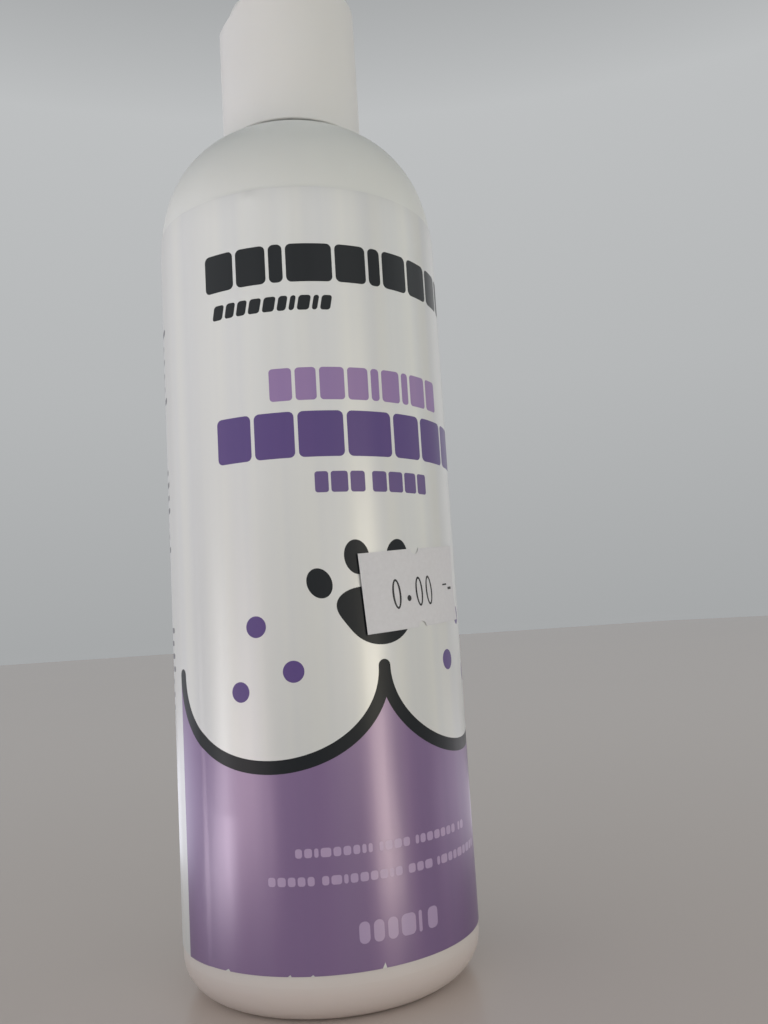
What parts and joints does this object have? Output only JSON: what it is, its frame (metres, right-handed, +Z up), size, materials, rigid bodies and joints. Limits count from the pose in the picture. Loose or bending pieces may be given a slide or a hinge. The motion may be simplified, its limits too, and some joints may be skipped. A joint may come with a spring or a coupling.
{
  "type": "shampoo bottle",
  "caption": "Round white squeeze bottle with a wraparound printed label and a screw-on disc-top closure that tilts open to pour.",
  "frame": {"origin": "centre of the standing face, at the bottle's base", "axes": "+Z up along the bottle's axis; the label's front faces -Y; the closure's nozzle faces +X and its press face -X"},
  "size_m": [0.0516, 0.0515, 0.1798],
  "materials": {
    "bottle_plastic": "satin",
    "closure_plastic": "satin",
    "label_film": "satin",
    "sticker_paper": "matte",
    "liner_foam": "matte"
  },
  "bodies": {
    "bottle": {"bottle": "bottle_plastic", "wrap_label": "label_film", "price_sticker": "sticker_paper"},
    "liner": {"sealing_liner": "liner_foam"},
    "closure": {"cap_shell": "closure_plastic"},
    "disc": {"press_disc": "closure_plastic"}
  },
  "joints": [
    {"name": "cap_lift", "type": "slide", "parent": "bottle", "child": "liner", "axis": [0, 0, 1], "range_m": [0, 0.01746]},
    {"name": "cap_turn", "type": "hinge", "parent": "liner", "child": "closure", "pos_m": [0, 0, 0.1514], "axis": [0, 0, 1], "range_deg": [0, 1980]},
    {"name": "disc_tilt", "type": "hinge", "parent": "closure", "child": "disc", "pos_m": [0, 0, 0.1764], "axis": [0, -1, 0], "range_deg": [0, 20]}
  ],
  "couplings": [
    {"joint": "cap_lift", "follows": "cap_turn", "m_per_rad": 0.00050532}
  ]
}
